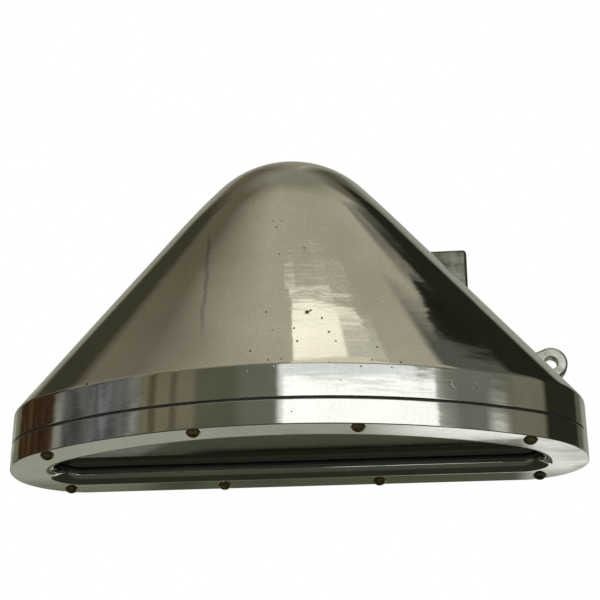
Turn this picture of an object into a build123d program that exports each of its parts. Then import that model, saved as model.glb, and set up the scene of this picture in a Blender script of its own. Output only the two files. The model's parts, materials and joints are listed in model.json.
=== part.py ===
from build123d import *
import math
import os

os.makedirs("parts", exist_ok=True)

# Sizes are in mm. While the light is built, heights count up from the underside of the
# lens frame. x runs across, y runs into the wall and the wall face of the light is y = 0.

# Plan outline of the rim: six tangent arcs, cut flat by the wall plane
half_width = 200.0
depth = 165.0
widest_from_wall = 47.0
back_bulge = 9.0          # how far the back arc would pass the wall plane before the cut
front_turn = 56.0         # degrees of the side arcs that lead into the front arc
back_turn = 84.0          # degrees of the corner arcs that lead into the back arc

# Cast hood
hood_height = 221.0
dome_radius = 75.0
dome_from_wall = 66.6
dome_cap_angle = 52.0     # degrees up the dome where the round cap takes over
flank_sections = 10       # loft sections below and above the dome's centre
dome_sections = 12
rim_height = 21.5         # upright band of the hood, above the seam
rim_wall = 13.0
hood_wall = 5.0
back_wall = 5.0
rim_edge_radius = 0.8
crease_softness = 1.5     # half the height of the rounded crease above the rim

# Ears on the wall plane
ear_side_inset = 17.0     # hole centre in from the widest point of the rim
ear_z = 84.0
ear_radius = 12.0
ear_hole_radius = 4.75
ear_thickness = 10.0
ear_edge_radius = 1.5
arm_root_inset = 60.0
arm_root_z = 64.0
arm_root_radius = 14.0

# Cable boss on the right flank and the packing gland inside it
boss_end_inset = 74.5
boss_length = 65.5
boss_size = 34.0
boss_below_top = 88.0     # underside of the boss below the hood's top
boss_edge_radius = 3.0
gland_bore_radius = 10.0
gland_depth = 20.0
cable_way_radius = 7.0
cable_hole_radius = 6.5
gland_recess = 1.0
gland_washer_thickness = 1.0
gland_packing_length = 8.0
gland_slot_width = 2.5
gland_slot_depth = 3.0

# Lens frame, its gasket and the eight screws
frame_height = 16.0
flange_width = 31.0
glass_ledge_inset = 23.0
frame_edge_radius = 2.0
frame_top_radius = 0.8
lip_radius = 7.0
window_corner_radius = 12.0
gasket_thickness = 1.5
gasket_inset = 1.2
gasket_width = 11.5
screw_inset = 8.0
back_screw_inset = 10.0
front_middle_screw_x = 51.5
front_outer_screw_inset = 42.0
back_middle_screw_x = 56.0
back_outer_screw_inset = 31.0
screw_radius = 2.5
screw_head_radius = 4.9
screw_head_height = 3.2
screw_slot_width = 1.3
screw_slot_depth = 1.6
screw_reach = 28.0        # from the underside of the head to the tip
boss_around_screw = 7.0
hole_clearance = 0.3
thread_clearance = 0.05
hole_spare_depth = 3.0

# Glass pane, its gasket and the clips that hold it down
glass_thickness = 6.0
glass_clearance = 0.5
glass_gasket_thickness = 1.5
glass_gasket_width = 7.0
clip_thickness = 1.5
clip_width = 12.0
clip_reach = 15.0
clip_inset = 15.5
front_outer_clip_inset = 95.0
back_outer_clip_inset = 88.0
clip_screw_inset = 19.0
clip_screw_radius = 1.5
clip_screw_head_radius = 2.8
clip_screw_head_height = 2.0
clip_screw_reach = 6.5

# Studs cast on the inside of the back wall
pad_radius = 6.5
pad_height = 7.0
pad_screw_radius = 2.5
pad_screw_reach = 7.0
pad_screw_depth = 9.0
pad_head_radius = 4.5
pad_head_height = 3.0
small_slot_share = 0.5    # of the shank's radius across the slot, of the head's height deep

# Lamp bracket and holder
lamp_from_wall = 72.0
bracket_width = 40.0
bracket_thickness = 2.5
bracket_bend = 5.0
bracket_below_top = 45.0
bracket_leg = 30.0
bracket_past_lamp = 26.0
bracket_screw_x = 12.0
bracket_screw_drop = 20.0
holder_radius = 21.0
holder_height = 46.0
holder_roof = 20.0
shell_radius = 13.4
shell_wall = 0.8
shell_height = 22.0
shell_opening = 6.0
holder_edge_radius = 2.0
holder_screw_spread = 14.0
holder_screw_radius = 2.0
holder_screw_reach = 8.0
holder_screw_head_radius = 3.4
holder_screw_head_height = 2.4
terminal_lug_x = 28.0
terminal_lug_width = 24.0
terminal_lug_height = 16.0
terminal_lug_drop = 2.0
terminal_spread = 6.0
terminal_screw_inset = 3.0
terminal_screw_reach = 6.0
contact_radius = 4.0
contact_thickness = 1.2
contact_stem_drop = 4.0
drill_spare = 1.0

# Lamp
cap_radius = 13.1
cap_height = 22.0
cap_crown = 2.5
cap_crown_chamfer = 2.0
cap_crown_width = 3.0
cap_seat_gap = 0.3
insulator_height = 3.2
insulator_flat = 1.0
tip_radius = 4.0
tip_height = 1.4
bulb_radius = 28.0
bulb_flare_share = 0.62   # of the bulb's radius, height where the neck's flare meets the ball
lamp_length = 97.0
neck_radius = 12.3
neck_in_cap = 6.0
bulb_wall = 0.8
stem_radius = 4.5
stem_height = 34.0
stem_top_gap = 4.0
stem_foot = 4.0
stem_rod = 12.0
support_root = 20.0
support_bend = 12.0
filament_rise = 2.0
filament_sag = 4.0
filament_radius = 0.35
filament_half_span = 9.0
filament_bend = 1.5

# Terminal block, earth stud and the inner leads
block_x = 62.0
block_below_bracket = 64.0
block_length = 52.0
block_depth = 12.0
block_height = 20.0
block_poles = 3
barrier_thickness = 2.5
barrier_height = 6.0
block_screw_spread = 40.0
pole_screw_radius = 2.6
pole_screw_height = 2.2
pole_slot_width = 0.8
pole_slot_depth = 1.0
earth_x = -52.0
earth_below_bracket = 58.0
earth_lug_radius = 5.5
lug_thickness = 1.2
lug_tail_length = 14.0
lug_tail_width = 5.0
lug_barrel_length = 8.0
lug_barrel_wall = 0.9
lead_radius = 1.4
lead_touch = 0.02
lead_rise = 16.0          # straight run of a lead beyond its terminal
lead_sag_x = 12.0
lead_sag = 4.0
lead_bend = 10.0

# Working values
seam_bottom = frame_height
seam_top = seam_bottom + gasket_thickness
rim_top = seam_top + rim_height
dome_z = hood_height - dome_radius
ear_x = half_width - ear_side_inset
arm_root_x = half_width - arm_root_inset
boss_end_x = half_width - boss_end_inset
boss_root_x = boss_end_x - boss_length
boss_bottom_z = hood_height - boss_below_top
bracket_top_z = hood_height - bracket_below_top
bracket_screw_z = bracket_top_z - bracket_screw_drop
block_z = bracket_top_z - block_below_bracket
earth_z = bracket_top_z - earth_below_bracket
ledge_z = frame_height - glass_thickness - glass_gasket_thickness
glass_bottom = frame_height - glass_thickness
far = 2.0 * half_width


def two_arcs(across, along, turn):
    """Radii of the two tangent arcs that lead from a side point to an end point."""
    s = math.sin(math.radians(turn))
    c = math.cos(math.radians(turn))
    share = 1.0 - s - c
    side = (across * (1.0 - s) - along * c) / share
    end = (along * (1.0 - c) - across * s) / share
    return side, end


def arc_point(x, y, radius, angle, z):
    a = math.radians(angle)
    return Vector(x + radius * math.cos(a), y + radius * math.sin(a), z)


def flip(point):
    return Vector(-point.X, point.Y, point.Z)


def outline(across, middle, front, back, z):
    """Closed wire of six tangent arcs at height z, symmetric about x = 0."""
    front_side, front_end = two_arcs(across, middle - front, front_turn)
    back_side, back_end = two_arcs(across, back - middle, back_turn)
    front_join = arc_point(across - front_side, middle, front_side, -front_turn, z)
    front_mid = arc_point(across - front_side, middle, front_side, -front_turn / 2, z)
    back_join = arc_point(across - back_side, middle, back_side, back_turn, z)
    back_mid = arc_point(across - back_side, middle, back_side, back_turn / 2, z)
    side = Vector(across, middle, z)
    return Wire([
        ThreePointArc(flip(front_join), Vector(0, front, z), front_join).edge(),
        ThreePointArc(front_join, front_mid, side).edge(),
        ThreePointArc(side, back_mid, back_join).edge(),
        ThreePointArc(back_join, Vector(0, back, z), flip(back_join)).edge(),
        ThreePointArc(flip(back_join), flip(back_mid), flip(side)).edge(),
        ThreePointArc(flip(side), flip(front_mid), flip(front_join)).edge(),
    ])


def in_front_of(gap):
    """All space that stands more than gap in front of the wall plane."""
    return Pos(0, -gap - far, 0) * Box(2 * far, 2 * far, 4 * far)


def full_plate(inset, bottom, top):
    """A flat plate of the rim's outline moved in by inset, not yet cut by the wall plane."""
    wire = outline(half_width - inset, -widest_from_wall, inset - depth, back_bulge - inset, bottom)
    return extrude(Face(wire), amount=top - bottom, dir=(0, 0, 1))


def rim_plate(inset, bottom, top):
    return full_plate(inset, bottom, top) & in_front_of(inset)


def rim_ring(outer_inset, inner_inset, bottom, top):
    return rim_plate(outer_inset, bottom, top) - rim_plate(inner_inset, bottom - 1, top + 1)


def lean(start, centre):
    """Upward tilt of the straight flank that is tangent to the dome."""
    run = start - centre
    rise = dome_z - rim_top
    slope = math.acos(dome_radius / math.hypot(run, rise))
    return slope - math.atan2(rise, run)


def reach(start, centre, z, inset):
    """Distance from the axis plane at height z: a soft crease, a straight flank, the dome's arc."""
    tilt = lean(start, centre)
    above_crease = z - rim_top
    if inset == 0 and above_crease < crease_softness:
        return start - math.tan(tilt) * (above_crease + crease_softness) ** 2 / (4 * crease_softness)
    radius = dome_radius - inset
    up = z - dome_z
    if up < radius * math.sin(tilt):
        return centre + (radius - up * math.sin(tilt)) / math.cos(tilt)
    return centre + math.sqrt(radius**2 - up**2)


def hood_section(z, inset):
    side_top = (dome_radius - inset) * math.sin(lean(half_width, 0.0))
    share = max(0.0, min(1.0, (z - rim_top) / (dome_z + side_top - rim_top)))
    middle = -widest_from_wall - (dome_from_wall - widest_from_wall) * share
    across = reach(half_width, 0.0, z, inset)
    front = reach(depth, dome_from_wall, z, inset)
    back = reach(back_bulge, -dome_from_wall, z, inset)
    return outline(across, middle, -front, back, z)


def hood_form(inset, start_z):
    """The hood's outer form, or its hollow when inset, from start_z up to the top."""
    radius = dome_radius - inset
    heights = [start_z + (dome_z - start_z) * step / flank_sections for step in range(flank_sections)]
    for step in range(dome_sections + 1):
        angle = math.radians(dome_cap_angle * step / dome_sections)
        heights.append(dome_z + radius * math.sin(angle))
    flank = Solid.make_loft([hood_section(z, inset) for z in heights])
    dome = Pos(0, -dome_from_wall, dome_z) * Sphere(radius)
    cap = dome & Pos(0, -dome_from_wall, heights[-1] + radius) * Box(far, far, 2 * radius)
    return flank + cap


def crease_form():
    """The rounded crease between the upright rim and the sloping hood."""
    heights = [rim_top + crease_softness * step for step in (-1, -0.5, 0, 0.5, 1)]
    return Solid.make_loft([hood_section(z, 0) for z in heights])


def soften(plate, z, radius):
    return fillet([e for e in plate.edges() if abs(e.center().Z - z) < 0.01], radius)


def front_y(x, inset):
    """y of the front of the rim, moved in by inset, at x."""
    _, end_radius = two_arcs(half_width, depth - widest_from_wall, front_turn)
    return end_radius - depth - math.sqrt((end_radius - inset) ** 2 - x**2)


def back_y(x, inset):
    """y of the back of the rim, moved in by inset, at x."""
    corner, _ = two_arcs(half_width, back_bulge + widest_from_wall, back_turn)
    past = abs(x) - (half_width - corner)
    if past <= 0:
        return -inset
    return min(-inset, math.sqrt((corner - inset) ** 2 - past**2) - widest_from_wall)


def both_sides(values):
    return [side * v for v in values for side in (-1, 1) if v or side > 0]


def upright(x, y, bottom, top, radius):
    return Pos(x, y, (bottom + top) / 2) * Cylinder(radius, top - bottom)


def from_wall(x, z, near, out, radius):
    """A round along y, from near to out, both measured out from the wall plane."""
    return Pos(x, -(near + out) / 2, z) * Rot(90, 0, 0) * Cylinder(radius, out - near)


def along_x(y, z, start, end, radius):
    return Pos((start + end) / 2, y, z) * Rot(0, 90, 0) * Cylinder(radius, end - start)


def round_screw(radius, reach_length, head_radius, head_height, slot_width, slot_depth):
    """A slotted round-head screw: shank up from z = 0, head below."""
    ball = (head_radius**2 + head_height**2) / (2 * head_height)
    head = Pos(0, 0, ball - head_height) * Sphere(ball)
    head = head & Pos(0, 0, -head_height / 2) * Cylinder(head_radius, head_height)
    head -= Pos(0, 0, slot_depth / 2 - head_height) * Box(3 * head_radius, slot_width, slot_depth)
    shank = upright(0, 0, 0, reach_length, radius)
    shank = chamfer(shank.edges().sort_by(Axis.Z)[-1:], radius * 0.3)
    return head + shank


def small_screw(radius, reach_length, head_radius, head_height):
    slot_width = radius * small_slot_share
    slot_depth = head_height * small_slot_share
    return round_screw(radius, reach_length, head_radius, head_height, slot_width, slot_depth)


front_screw_x = both_sides((front_middle_screw_x, half_width - front_outer_screw_inset))
back_screw_x = both_sides((back_middle_screw_x, half_width - back_outer_screw_inset))
frame_screw_places = [(x, front_y(x, screw_inset)) for x in front_screw_x]
frame_screw_places += [(x, back_y(x, back_screw_inset)) for x in back_screw_x]

front_clip_x = both_sides((0.0, half_width - front_outer_clip_inset))
back_clip_x = both_sides((0.0, half_width - back_outer_clip_inset))
clip_places = [(x, front_y(x, clip_screw_inset), True) for x in front_clip_x]
clip_places += [(x, back_y(x, clip_screw_inset), False) for x in back_clip_x]

bracket_pads = [(x, bracket_screw_z) for x in both_sides((bracket_screw_x,))]
block_pads = [(block_x + x, block_z) for x in both_sides((block_screw_spread / 2,))]
earth_pad = [(earth_x, earth_z)]
pad_face = back_wall + pad_height
gland_y = -boss_size / 2
gland_z = boss_bottom_z + boss_size / 2


def make_ear(side):
    lug = Pos(side * ear_x, ear_z) * Circle(ear_radius)
    root = Pos(side * arm_root_x, arm_root_z) * Circle(arm_root_radius)
    plan = make_hull(lug.edges() + root.edges())
    body = extrude(Plane.XZ * plan, amount=ear_thickness)
    front_edges = body.edges().group_by(Axis.Y)[0]
    return fillet(front_edges, ear_edge_radius)


def make_boss():
    block = Box(boss_end_x - boss_root_x, boss_size, boss_size, align=(Align.MIN, Align.MAX, Align.MIN))
    block = Pos(boss_root_x, 0, boss_bottom_z) * block
    lengthwise = block.edges().filter_by(Axis.X).group_by(Axis.Y)[0]
    end_edges = block.faces().sort_by(Axis.X)[-1].edges().sort_by(Axis.Y)[:-1]
    return fillet(lengthwise + end_edges, boss_edge_radius)


def make_housing():
    rim = soften(full_plate(0, seam_top, rim_top - crease_softness), seam_top, rim_edge_radius)
    outside = rim + crease_form() + hood_form(0, rim_top + crease_softness)
    outside = outside & in_front_of(0)
    hollow = hood_form(hood_wall, rim_top) & in_front_of(back_wall)
    hollow += rim_plate(rim_wall, seam_top - 1, rim_top)
    shell = outside + make_ear(1) + make_ear(-1) + make_boss() - hollow
    for x, y in frame_screw_places:
        shell += upright(x, y, seam_top, rim_top, boss_around_screw) & outside
    for x, z in bracket_pads + block_pads + earth_pad:
        shell += from_wall(x, z, back_wall - 1, pad_face, pad_radius)
    for x, y in frame_screw_places:
        tip = screw_reach + hole_spare_depth
        shell -= upright(x, y, seam_top - 1, tip, screw_radius + thread_clearance)
    for x, z in bracket_pads + block_pads + earth_pad:
        hole_radius = pad_screw_radius + thread_clearance
        shell -= from_wall(x, z, pad_face - pad_screw_depth, pad_face + 1, hole_radius)
    for side in (-1, 1):
        shell -= from_wall(side * ear_x, ear_z, -1, ear_thickness + 1, ear_hole_radius)
    gland_floor = boss_end_x - gland_depth
    shell -= along_x(gland_y, gland_z, gland_floor, boss_end_x + 1, gland_bore_radius)
    shell -= along_x(gland_y, gland_z, boss_root_x, gland_floor, cable_way_radius)
    return shell


def make_lens_frame():
    outside = soften(full_plate(0, 0, frame_height), 0, frame_edge_radius)
    outside = soften(outside, frame_height, frame_top_radius) & in_front_of(0)
    window = rim_plate(flange_width, -1, frame_height + 1)
    corners = [e for e in window.edges().filter_by(Axis.Z) if abs(e.center().Y + flange_width) < 0.01]
    frame = outside - fillet(corners, window_corner_radius)
    reach_in = half_width - flange_width
    lip = [e for e in frame.edges() if abs(e.center().Z) < 0.01 and abs(e.center().X) <= reach_in + 0.01
           and -depth + flange_width - 0.01 < e.center().Y < -flange_width + 0.01]
    frame = fillet(lip, lip_radius) - rim_plate(glass_ledge_inset, ledge_z, frame_height + 1)
    for x, y in frame_screw_places:
        frame -= upright(x, y, -1, frame_height + 1, screw_radius + hole_clearance)
    for x, y, _ in clip_places:
        drill_end = frame_height - clip_screw_reach - drill_spare
        frame -= upright(x, y, drill_end, frame_height + 1, clip_screw_radius + thread_clearance)
    return frame


def make_frame_gasket():
    gasket = rim_ring(gasket_inset, gasket_inset + gasket_width, seam_bottom, seam_top)
    for x, y in frame_screw_places:
        gasket -= upright(x, y, seam_bottom - 1, seam_top + 1, screw_radius + hole_clearance)
    return gasket


def make_frame_screws():
    screw = round_screw(screw_radius, screw_reach, screw_head_radius, screw_head_height,
                        screw_slot_width, screw_slot_depth)
    turns = (15, 62, -35, 8, 80, -12, 40, -60)
    return [Pos(x, y, 0) * Rot(0, 0, turn) * screw for (x, y), turn in zip(frame_screw_places, turns)]


def make_glass():
    inset = glass_ledge_inset + glass_clearance
    return rim_plate(inset, glass_bottom, frame_height)


def make_glass_gasket():
    inset = glass_ledge_inset + glass_clearance
    return rim_ring(inset, inset + glass_gasket_width, ledge_z, glass_bottom)


def clip_turn(x, y, at_front):
    """Angle that turns a clip's length from +y to the inward direction."""
    if not at_front:
        return 180.0
    _, end_radius = two_arcs(half_width, depth - widest_from_wall, front_turn)
    return math.degrees(math.atan2(x, end_radius - depth - y))


def make_clips_and_screws():
    blade = Pos(0, clip_reach / 2 + clip_inset - clip_screw_inset, clip_thickness / 2)
    blade = blade * Box(clip_width, clip_reach, clip_thickness)
    blade = fillet(blade.edges().filter_by(Axis.Z), clip_width / 4)
    blade -= Cylinder(clip_screw_radius + hole_clearance, 4 * clip_thickness)
    screw = small_screw(clip_screw_radius, clip_screw_reach + clip_thickness, clip_screw_head_radius,
                        clip_screw_head_height)
    clips = []
    screws = []
    for x, y, at_front in clip_places:
        seat = Pos(x, y, frame_height) * Rot(0, 0, clip_turn(x, y, at_front))
        clips.append(seat * blade)
        screws.append(seat * Pos(0, 0, clip_thickness) * Rot(180, 0, 0) * screw)
    return clips, screws


def wall_screw(x, z, plate_thickness):
    """A screw driven towards the wall through a plate that lies on a stud's face."""
    reach_length = pad_screw_reach + plate_thickness
    screw = small_screw(pad_screw_radius, reach_length, pad_head_radius, pad_head_height)
    return Pos(x, -pad_face - plate_thickness, z) * Rot(-90, 0, 0) * screw


def make_bracket():
    top = bracket_top_z
    low = bracket_top_z - bracket_leg
    wall = -pad_face
    tip = -lamp_from_wall - bracket_past_lamp
    t = bracket_thickness
    points = [(wall, low), (wall, top), (tip, top), (tip, top - t), (wall - t, top - t), (wall - t, low)]
    profile = make_face(Polyline(points, close=True))
    corners = profile.vertices().sort_by_distance((wall, top))
    profile = fillet(corners[:1], bracket_bend)
    inner = profile.vertices().sort_by_distance((wall - t, top - t))
    profile = fillet(inner[:1], bracket_bend - t)
    bracket = extrude(Plane.YZ * profile, amount=bracket_width / 2, both=True)
    front_edges = bracket.edges().filter_by(Axis.Z).group_by(Axis.Y)[0]
    bracket = fillet(front_edges, bracket_bend)
    for x, z in bracket_pads:
        bracket -= from_wall(x, z, pad_face - 1, pad_face + t + 1, pad_screw_radius + hole_clearance)
    for y in both_sides((holder_screw_spread,)):
        bracket -= upright(0, y - lamp_from_wall, top - 2 * t, top + t, holder_screw_radius + hole_clearance)
    bracket -= upright(0, -lamp_from_wall, top - 2 * t, top + t, contact_radius)
    return bracket


holder_top = bracket_top_z - bracket_thickness
holder_bottom = holder_top - holder_height
roof_z = holder_top - holder_roof
lug_bottom = holder_top - terminal_lug_height - terminal_lug_drop
lug_screw_x = terminal_lug_x - terminal_screw_inset


def make_holder_body():
    body = upright(0, 0, holder_bottom, holder_top, holder_radius)
    body = fillet(body.edges().sort_by(Axis.Z)[:1], holder_edge_radius)
    lug = Box(terminal_lug_x, terminal_lug_width, terminal_lug_height,
              align=(Align.MIN, Align.CENTER, Align.MIN))
    lug_corners = lug.faces().sort_by(Axis.X)[-1].edges().filter_by(Axis.Z)
    body += Pos(0, 0, lug_bottom) * fillet(lug_corners, holder_edge_radius)
    bore = shell_radius + shell_wall + thread_clearance
    body -= upright(0, 0, holder_bottom - 1, roof_z, bore)
    body -= upright(0, 0, roof_z - 1, holder_top + 1, contact_radius / 2)
    drill_end = holder_top - holder_screw_reach - drill_spare
    for y in both_sides((holder_screw_spread,)):
        body -= upright(0, y, drill_end, holder_top + 1, holder_screw_radius + thread_clearance)
    drill_end = lug_bottom + terminal_screw_reach + drill_spare
    for y in both_sides((terminal_spread,)):
        body -= upright(lug_screw_x, y, lug_bottom - 1, drill_end, clip_screw_radius + thread_clearance)
    return Pos(0, -lamp_from_wall, 0) * body


def make_holder_shell():
    outer = upright(0, 0, roof_z - shell_height, roof_z, shell_radius + shell_wall)
    inner = upright(0, 0, roof_z - shell_height - 1, roof_z - shell_wall, shell_radius)
    shell = outer - inner - upright(0, 0, roof_z - 2, roof_z + 1, shell_opening)
    return Pos(0, -lamp_from_wall, 0) * shell


def make_holder_contact():
    pad = upright(0, 0, roof_z - contact_thickness, roof_z, contact_radius)
    stem = upright(0, 0, roof_z, holder_top - contact_stem_drop, contact_radius / 2 - thread_clearance)
    return Pos(0, -lamp_from_wall, 0) * (pad + stem)


def make_holder_screws():
    screw = small_screw(holder_screw_radius, holder_screw_reach + bracket_thickness,
                        holder_screw_head_radius, holder_screw_head_height)
    seats = [y - lamp_from_wall for y in both_sides((holder_screw_spread,))]
    return [Pos(0, y, bracket_top_z) * Rot(180, 0, 20) * screw for y in seats]


def make_holder_terminal_screws():
    head_height = clip_screw_head_height
    screw = small_screw(clip_screw_radius, terminal_screw_reach, clip_screw_head_radius, head_height)
    seats = [y - lamp_from_wall for y in both_sides((terminal_spread,))]
    return [Pos(lug_screw_x, y, lug_bottom) * screw for y in seats]


# The lamp stands tip up in the holder, with its tip against the holder's contact
lamp_tip_z = roof_z - contact_thickness - cap_seat_gap
cap_top = lamp_tip_z - tip_height - insulator_height
cap_bottom = cap_top - cap_height
bulb_z = lamp_tip_z - lamp_length + bulb_radius
stem_bottom = cap_bottom - stem_top_gap


def bulb_form(inset):
    """Round bulb with a flared neck, as a turned form about z."""
    radius = bulb_radius - inset
    neck = neck_radius - inset
    top = cap_bottom + neck_in_cap - 2 * inset
    flare_z = bulb_z + radius * bulb_flare_share
    flare_x = math.sqrt(radius**2 - (flare_z - bulb_z) ** 2)
    tangent = Vector(-(flare_z - bulb_z), flare_x, 0)
    line = Line((0, top), (neck, top))
    line += Line((neck, top), (neck, cap_bottom - 1))
    line += Spline([(neck, cap_bottom - 1), (flare_x, flare_z)], tangents=[(0, -1), -tangent.normalized()])
    line += ThreePointArc((flare_x, flare_z), (radius, bulb_z), (0, bulb_z - radius))
    line += Line((0, bulb_z - radius), (0, top))
    return revolve(Plane.XZ * make_face(line.edges()), Axis.Z)


def make_bulb():
    return Pos(0, -lamp_from_wall, 0) * (bulb_form(0) - bulb_form(bulb_wall))


def make_cap():
    outer = upright(0, 0, cap_bottom, cap_top, cap_radius)
    outer = chamfer(outer.edges().sort_by(Axis.Z)[-1:], cap_crown_chamfer)
    hollow = upright(0, 0, cap_bottom - 1, cap_top - cap_crown, neck_radius + thread_clearance)
    cap = outer - hollow - upright(0, 0, cap_top - cap_crown - 1, cap_top + 1, cap_radius - cap_crown_width)
    return Pos(0, -lamp_from_wall, 0) * cap


def make_insulator():
    base = cap_radius - cap_crown_width - thread_clearance
    lower = upright(0, 0, cap_top - cap_crown, cap_top, base)
    cone = Cone(base, tip_radius + insulator_flat, insulator_height)
    cone = Pos(0, 0, cap_top + insulator_height / 2) * cone
    return Pos(0, -lamp_from_wall, 0) * (lower + cone)


def make_tip():
    tip = upright(0, 0, lamp_tip_z - tip_height, lamp_tip_z, tip_radius)
    return Pos(0, -lamp_from_wall, 0) * fillet(tip.edges().sort_by(Axis.Z)[-1:], tip_height / 2)


def make_stem():
    top = cap_bottom + neck_in_cap - 2 * bulb_wall
    low = stem_bottom - stem_height
    foot = upright(0, 0, top - stem_foot, top, neck_radius - bulb_wall)
    tube = upright(0, 0, low + stem_rod, top - stem_foot, stem_radius)
    rod = upright(0, 0, low, low + stem_rod, stem_radius / 3)
    return Pos(0, -lamp_from_wall, 0) * (foot + tube + rod)


def make_filament():
    """Two support wires out of the stem and the bent filament between them."""
    low = stem_bottom - stem_height
    root = stem_radius + filament_radius + thread_clearance
    span = filament_half_span
    half = [(root, low + support_root), (root, low + support_bend), (span, low + filament_rise)]
    points = half + [(0, low - filament_sag)] + [(-x, z) for x, z in reversed(half)]
    path = FilletPolyline([(x, 0, z) for x, z in points], radius=filament_bend)
    start = Plane(origin=path @ 0, z_dir=path % 0)
    return Pos(0, -lamp_from_wall, 0) * sweep(start * Circle(filament_radius), path=path)


pole_pitch = (block_screw_spread - 2 * (pad_head_radius + barrier_thickness)) / block_poles
pole_places = [block_x + (k - (block_poles - 1) / 2) * pole_pitch for k in range(block_poles)]
block_base = block_depth - barrier_height


def make_terminal_block():
    base = block_base
    block = Box(block_length, base, block_height, align=(Align.CENTER, Align.MAX, Align.CENTER))
    rib = Box(barrier_thickness, block_depth, block_height, align=(Align.CENTER, Align.MAX, Align.CENTER))
    for k in range(block_poles + 1):
        block += Pos((k - block_poles / 2) * pole_pitch, 0, 0) * rib
    block = Pos(block_x, -pad_face, block_z) * block
    for x, z in block_pads:
        block -= from_wall(x, z, pad_face - 1, pad_face + block_depth, pad_screw_radius + hole_clearance)
    return block


def make_pole_screws():
    """Two screws to a pole, seated on the block's base."""
    seat = pad_face + block_base
    top = seat + pole_screw_height
    slot = Box(pole_slot_width, 2 * pole_slot_depth, 3 * pole_screw_radius)
    screws = []
    for x in pole_places:
        for z in both_sides((block_height / 4,)):
            head = from_wall(x, block_z + z, seat, top, pole_screw_radius)
            screws.append(head - Pos(x, -top, block_z + z) * slot)
    return screws


lug_y = -pad_face - lug_thickness / 2
lug_end = earth_x + lug_tail_length


def make_earth_lug():
    """Flat ring under the earth screw, with a tail that ends in the barrel of its lead."""
    ring = from_wall(earth_x, earth_z, pad_face, pad_face + lug_thickness, earth_lug_radius)
    tail = Box(lug_tail_length + 1, lug_thickness, lug_tail_width,
               align=(Align.MIN, Align.CENTER, Align.CENTER))
    barrel = along_x(lug_y, earth_z, lug_end, lug_end + lug_barrel_length, lead_radius + lug_barrel_wall)
    lug = ring + Pos(earth_x, lug_y, earth_z) * tail + barrel
    barrel_end = lug_end + lug_barrel_length + 1
    lug -= along_x(lug_y, earth_z, lug_end + 1, barrel_end, lead_radius + thread_clearance)
    return lug - from_wall(earth_x, earth_z, pad_face - 1, pad_face + 3, pad_screw_radius + hole_clearance)


def make_lead(points, radii):
    path = FilletPolyline(points, radius=radii)
    start = Plane(origin=path @ 0, z_dir=path % 0)
    return sweep(start * Circle(lead_radius), path=path)


def make_leads():
    """Leads from the terminal block to the holder's lug and to the earth stud."""
    front = -pad_face - block_base - lead_radius - lead_touch
    clear = block_height / 4 + pole_screw_radius + lead_touch
    up_z = block_z + clear
    low_z = block_z - clear
    entry_x = terminal_lug_x + lead_touch
    entry_z = lug_bottom + terminal_lug_height / 2
    neutral_x, live_x, earth_pole_x = pole_places
    live_y = -lamp_from_wall + terminal_spread
    neutral_y = -lamp_from_wall - terminal_spread
    turn_x = (entry_x + live_x) / 2
    live = [(live_x, front, up_z), (live_x, front, up_z + lead_rise),
            (turn_x + lead_sag, live_y, entry_z), (entry_x, live_y, entry_z)]
    neutral = [(neutral_x, front, up_z), (neutral_x, front, up_z + lead_rise),
               (turn_x, neutral_y, entry_z), (entry_x, neutral_y, entry_z)]
    lug_entry = lug_end + 1 + lead_touch
    earth = [(earth_pole_x, front, low_z), (earth_pole_x, front, low_z - lead_rise),
             (lead_sag_x, front + lead_sag, low_z - lead_rise - lead_sag),
             (lug_entry + lug_barrel_length + lead_rise, lug_y, earth_z), (lug_entry, lug_y, earth_z)]
    return [make_lead(points, lead_bend) for points in (live, neutral, earth)]


def make_gland():
    """Packing ring between two washers, pressed in by a hollow slotted screw."""
    fit = gland_bore_radius - 2 * thread_clearance
    floor = boss_end_x - gland_depth
    stops = [floor, floor + gland_washer_thickness]
    stops.append(stops[-1] + gland_packing_length)
    stops.append(stops[-1] + gland_washer_thickness)
    stops.append(boss_end_x - gland_recess)

    def sleeve(k):
        outer = along_x(gland_y, gland_z, stops[k], stops[k + 1], fit)
        return outer - along_x(gland_y, gland_z, stops[k] - 1, stops[k + 1] + 1, cable_hole_radius)

    slot = Box(2 * gland_slot_depth, gland_slot_width, 3 * gland_bore_radius)
    screw = sleeve(3) - Pos(stops[4], gland_y, gland_z) * slot
    return [sleeve(0), sleeve(2)], sleeve(1), screw


def write(name, shape):
    """Write one node, moved so that the row's origin is midway between the ear holes."""
    pieces = shape if isinstance(shape, list) else [shape]
    moved = [Pos(0, 0, -ear_z) * piece for piece in pieces]
    solids = [solid for piece in moved for solid in piece.solids()]
    node = solids[0] if len(solids) == 1 else Compound(children=solids)
    export_step(node, f"parts/{name}.step")


clips, clip_screws = make_clips_and_screws()
gland_washers, gland_packing, gland_screw = make_gland()
lead_live, lead_neutral, lead_earth = make_leads()

write("housing", make_housing())
write("lens_frame", make_lens_frame())
write("frame_gasket", make_frame_gasket())
write("frame_screws", make_frame_screws())
write("lens_glass", make_glass())
write("glass_gasket", make_glass_gasket())
write("glass_clips", clips)
write("clip_screws", clip_screws)
write("lamp_bracket", make_bracket())
write("bracket_screws", [wall_screw(x, z, bracket_thickness) for x, z in bracket_pads])
write("holder_body", make_holder_body())
write("holder_shell", make_holder_shell())
write("holder_contact", make_holder_contact())
write("holder_screws", make_holder_screws())
write("holder_terminal_screws", make_holder_terminal_screws())
write("lamp_cap", make_cap())
write("lamp_insulator", make_insulator())
write("lamp_tip", make_tip())
write("lamp_bulb", make_bulb())
write("lamp_stem", make_stem())
write("lamp_filament", make_filament())
write("terminal_block", make_terminal_block())
write("block_screws", [wall_screw(x, z, block_base) for x, z in block_pads])
write("pole_screws", make_pole_screws())
write("earth_lug", make_earth_lug())
write("earth_screw", wall_screw(earth_x, earth_z, lug_thickness))
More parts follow.
